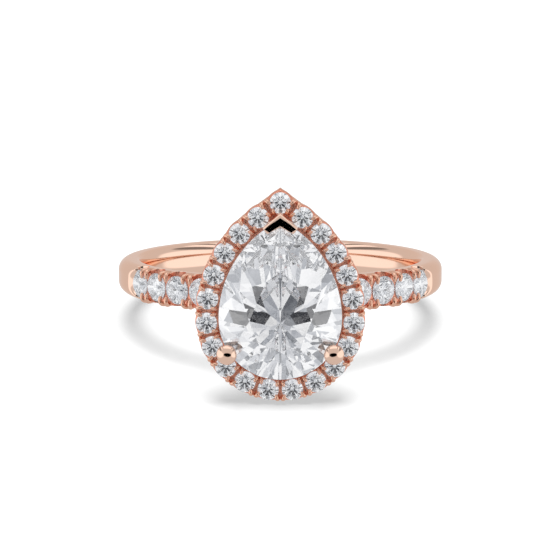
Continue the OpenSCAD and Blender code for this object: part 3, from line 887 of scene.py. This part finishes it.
# Viewing distance and angle above the head's axis, focal length in pixels, and shift as shares of the
# image's width
CAMERA_MM = 130.0
CAMERA_UP = math.radians(7.72) + LEAN
FOCAL_PX = 2043.2
IMAGE_PX = 560
SENSOR_MM = 36.0
SHIFT_X = -0.0005
SHIFT_Y = -0.01305
# Floor and tent, in metres
FLOOR_HALF = 3
TENT_R = 1.5
# Strength of the world as the floor, the metal and the camera see it
FLOOR_LIGHT = 0.58
TENT_LIGHT = 0.75
BACKDROP_LIGHT = 1.1
# Width of the overhead light in degrees, and its strength
SOFTBOX_WIDTH = 44
SOFTBOX_LIGHT = 2.4
# Share of a card's half width over which its edge fades out
CARD_FADE = 0.3
# Scale of the tent's folds, and their tones from dark to light
TENT_SCALE = 1.8
TENT_FOLDS = ((0.36, (0.16, 0.17, 0.19)), (0.44, (0.46, 0.48, 0.52)), (0.50, (0.74, 0.75, 0.78)),
              (0.56, (0.96, 0.96, 0.97)), (0.64, (1.06, 1.06, 1.06)))
# Light crosses a cut stone many times before it leaves
BOUNCES = 32
# Streaks at each side, for the band to reflect: angle up, height in degrees and brightness
STREAKS = ((33, 16, 0.25), (46, 8, 1.5), (55, 6, 0.3), (62, 5, 1.4))


def make_camera():
    """The camera, in front of the head and a little above its axis."""
    camera = bpy.data.cameras.new("camera")
    camera.sensor_width = SENSOR_MM
    camera.lens = SENSOR_MM * FOCAL_PX / IMAGE_PX
    camera.shift_x = SHIFT_X
    camera.shift_y = SHIFT_Y
    camera.clip_start = 0.001
    camera.clip_end = 10
    holder = bpy.data.objects.new("camera", camera)
    out = Vector((0, -math.cos(CAMERA_UP), math.sin(CAMERA_UP)))
    holder.location = out * CAMERA_MM * MM
    holder.rotation_euler = out.to_track_quat("Z", "Y").to_euler()
    bpy.context.scene.collection.objects.link(holder)
    bpy.context.scene.camera = holder


def make_floor():
    """A plain white floor, which reflections and the stones don't show."""
    mesh = bpy.data.meshes.new("floor")
    bm = bmesh.new()
    bmesh.ops.create_grid(bm, x_segments=1, y_segments=1, size=FLOOR_HALF)
    bm.to_mesh(mesh)
    bm.free()
    floor = bpy.data.objects.new("floor", mesh)
    floor.location.z = cad_low.z
    material, _, shader, _ = new_material("floor_white")
    shader.inputs["Base Color"].default_value = (0.95, 0.95, 0.95, 1)
    shader.inputs["Roughness"].default_value = 0.6
    shader.inputs["Specular IOR Level"].default_value = 0.0
    mesh.materials.append(material)
    floor.visible_glossy = False
    floor.visible_transmission = False
    floor.visible_shadow = False
    bpy.context.scene.collection.objects.link(floor)


def make_world():
    """A white backdrop, an even light on the floor, and a softer grey tent for the ring to reflect."""
    world = bpy.data.worlds.new("studio")
    bpy.context.scene.world = world
    world.use_nodes = True
    nodes, link = world.node_tree.nodes, world.node_tree.links.new
    background = nodes["Background"]
    path = nodes.new("ShaderNodeLightPath")
    strength = None
    for ray, light in (("Is Diffuse Ray", FLOOR_LIGHT), ("Is Camera Ray", BACKDROP_LIGHT)):
        tone = nodes.new("ShaderNodeMapRange")
        tone.inputs["To Min"].default_value = TENT_LIGHT
        tone.inputs["To Max"].default_value = light
        if strength:
            link(strength, tone.inputs["To Min"])
        link(path.outputs[ray], tone.inputs["Value"])
        strength = tone.outputs["Result"]
    link(strength, background.inputs["Strength"])
    background.inputs["Color"].default_value = (1, 1, 1, 1)


def make_card(name, azimuth, up, width, height, tone, for_stones=False):
    """An oval card round the table, seen only in reflections on the metal, or only through the stones.
    It stands a metre off, facing the ring: azimuth and up are the direction of its middle, width and
    height the angles it covers, in degrees, and tone its brightness."""
    w, h = math.tan(math.radians(width / 2)), math.tan(math.radians(height / 2))
    a, e = math.radians(azimuth), math.radians(up)
    out = Vector((math.sin(a) * math.cos(e), -math.cos(a) * math.cos(e), math.sin(e)))
    turns = [2 * math.pi * k / 48 for k in range(48)]
    mesh = bpy.data.meshes.new(name)
    mesh.from_pydata([(w * math.cos(t), h * math.sin(t), 0) for t in turns], [], [tuple(range(48))])
    card = bpy.data.objects.new(name, mesh)
    card.location = out
    card.rotation_euler = out.to_track_quat("Z", "Y").to_euler()
    material, tree, shader, add = new_material(name)
    shader.inputs["Base Color"].default_value = (0, 0, 0, 1)
    shader.inputs["Specular IOR Level"].default_value = 0
    shader.inputs["Emission Color"].default_value = (*tone, 1)
    shader.inputs["Emission Strength"].default_value = 1
    coords = add("ShaderNodeTexCoord")
    to_edge = add("ShaderNodeMapping", vector_type="POINT")
    to_edge.inputs["Scale"].default_value = (1 / w, 1 / h, 1)
    middle = add("ShaderNodeTexGradient", gradient_type="SPHERICAL")
    fade = add("ShaderNodeMapRange", interpolation_type="SMOOTHSTEP")
    fade.inputs["From Max"].default_value = CARD_FADE
    tree.links.new(coords.outputs["Object"], to_edge.inputs["Vector"])
    tree.links.new(to_edge.outputs["Vector"], middle.inputs["Vector"])
    tree.links.new(middle.outputs["Fac"], fade.inputs["Value"])
    tree.links.new(fade.outputs["Result"], shader.inputs["Alpha"])
    material.cycles.emission_sampling = "NONE"
    mesh.materials.append(material)
    card.visible_camera = card.visible_diffuse = card.visible_shadow = False
    card.visible_glossy = not for_stones
    card.visible_transmission = for_stones
    bpy.context.scene.collection.objects.link(card)


def make_tent():
    """What the stones show: a white tent with soft blue-grey folds, seen through them alone."""
    mesh = bpy.data.meshes.new("tent")
    bm = bmesh.new()
    bmesh.ops.create_icosphere(bm, subdivisions=4, radius=TENT_R)
    bm.to_mesh(mesh)
    bm.free()
    tent = bpy.data.objects.new("tent", mesh)
    material, tree, shader, add = new_material("tent_folds")
    coords = add("ShaderNodeTexCoord")
    folds = add("ShaderNodeTexNoise", Scale=TENT_SCALE, Detail=1.0)
    ramp = add("ShaderNodeValToRGB")
    ramp.color_ramp.interpolation = "EASE"
    stops = ramp.color_ramp.elements
    while len(stops) < len(TENT_FOLDS):
        stops.new(0.5)
    for stop, (place, colour) in zip(stops, TENT_FOLDS):
        stop.position = place
        stop.color = (*colour, 1)
    link = tree.links.new
    link(coords.outputs["Object"], folds.inputs["Vector"])
    link(folds.outputs["Fac"], ramp.inputs["Fac"])
    link(ramp.outputs["Color"], shader.inputs["Emission Color"])
    shader.inputs["Base Color"].default_value = (0, 0, 0, 1)
    shader.inputs["Specular IOR Level"].default_value = 0
    shader.inputs["Emission Strength"].default_value = 1.0
    material.cycles.emission_sampling = "NONE"
    mesh.materials.append(material)
    tent.visible_camera = tent.visible_diffuse = tent.visible_shadow = tent.visible_glossy = False
    bpy.context.scene.collection.objects.link(tent)


def make_softbox():
    """Wide soft light from overhead, which gives the ring its shadow. Reflections don't show it."""
    light = bpy.data.lights.new("softbox", "SUN")
    light.angle = math.radians(SOFTBOX_WIDTH)
    light.energy = SOFTBOX_LIGHT
    holder = bpy.data.objects.new("softbox", light)
    holder.visible_glossy = holder.visible_transmission = holder.visible_camera = False
    bpy.context.scene.collection.objects.link(holder)


def make_cards():
    """A black card in front, white ones overhead and at the sides, and streaks between them. The stones
    see only a dark patch, where the camera stands in a real studio."""
    make_card("card_front", 0, 3, 64, 32, (0, 0, 0))
    make_card("card_top", 0, 90, 80, 60, (1.3, 1.3, 1.3))
    for side, sign in (("left", -1), ("right", 1)):
        make_card(f"card_side_{side}", sign * 78, 0, 110, 56, (1.25, 1.25, 1.25))
        for up, height, light in STREAKS:
            make_card(f"card_streak_{up}_{side}", sign * 96, up, 64, height, (light, light, light))
    make_card("stone_dark", 0, 7, 40, 28, (0.02, 0.02, 0.025), for_stones=True)


make_camera()
make_floor()
make_world()
make_cards()
make_tent()
make_softbox()
bpy.context.scene.view_settings.view_transform = "Standard"
cycles = bpy.context.scene.cycles
cycles.max_bounces = cycles.glossy_bounces = cycles.transmission_bounces = BOUNCES
